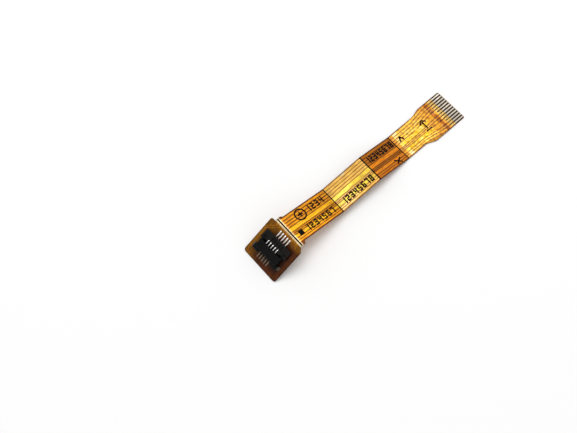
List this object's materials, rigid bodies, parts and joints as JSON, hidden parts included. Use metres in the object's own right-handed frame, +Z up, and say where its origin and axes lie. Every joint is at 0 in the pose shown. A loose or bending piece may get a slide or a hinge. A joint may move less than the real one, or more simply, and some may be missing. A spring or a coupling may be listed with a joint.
{
  "type": "flexible printed cable with a soldered ZIF connector",
  "caption": "Flexible printed cable in a shallow zigzag: a back-flip ZIF connector on its rigid head pad, bare contact fingers at its other end.",
  "frame": {"origin": "centre of the part's bounding box in X and Y, on the surface that it rests on", "axes": "+X runs along the cable from the connector to the contact fingers, +Z is up, away from the surface, with the contacts facing up"},
  "size_m": [0.0836, 0.0142, 0.0082],
  "materials": {
    "polyimide_base": "satin",
    "acrylic_adhesive": "satin",
    "polyimide_cover": "gloss",
    "stiffener": "satin",
    "housing_plastic": "matte",
    "lever_plastic": "satin",
    "copper": "satin",
    "tinned_bronze": "satin",
    "solder": "satin"
  },
  "bodies": {
    "cable": {"base_film": "polyimide_base", "adhesive_film": "acrylic_adhesive", "cover_film": "polyimide_cover", "head_stiffener": "stiffener", "tip_stiffener": "stiffener", "connector_housing": "housing_plastic", "hold_down_left": "tinned_bronze", "hold_down_right": "tinned_bronze", "conductor_01": "copper", "conductor_02": "copper", "conductor_03": "copper", "conductor_04": "copper", "conductor_05": "copper", "conductor_06": "copper", "conductor_07": "copper", "conductor_08": "copper", "conductor_09": "copper", "conductor_10": "copper", "contact_01": "tinned_bronze", "contact_02": "tinned_bronze", "contact_03": "tinned_bronze", "contact_04": "tinned_bronze", "contact_05": "tinned_bronze", "contact_06": "tinned_bronze", "contact_07": "tinned_bronze", "contact_08": "tinned_bronze", "contact_09": "tinned_bronze", "contact_10": "tinned_bronze", "solder_01": "solder", "solder_02": "solder", "solder_03": "solder", "solder_04": "solder", "solder_05": "solder", "solder_06": "solder", "solder_07": "solder", "solder_08": "solder", "solder_09": "solder", "solder_10": "solder"},
    "lever": {"locking_lever": "lever_plastic"}
  },
  "joints": [
    {"name": "lever_hinge", "type": "hinge", "parent": "cable", "child": "lever", "pos_m": [-0.03553, 0.0002, 0.00555], "axis": [0, -1, 0], "range_deg": [0, 90]}
  ]
}
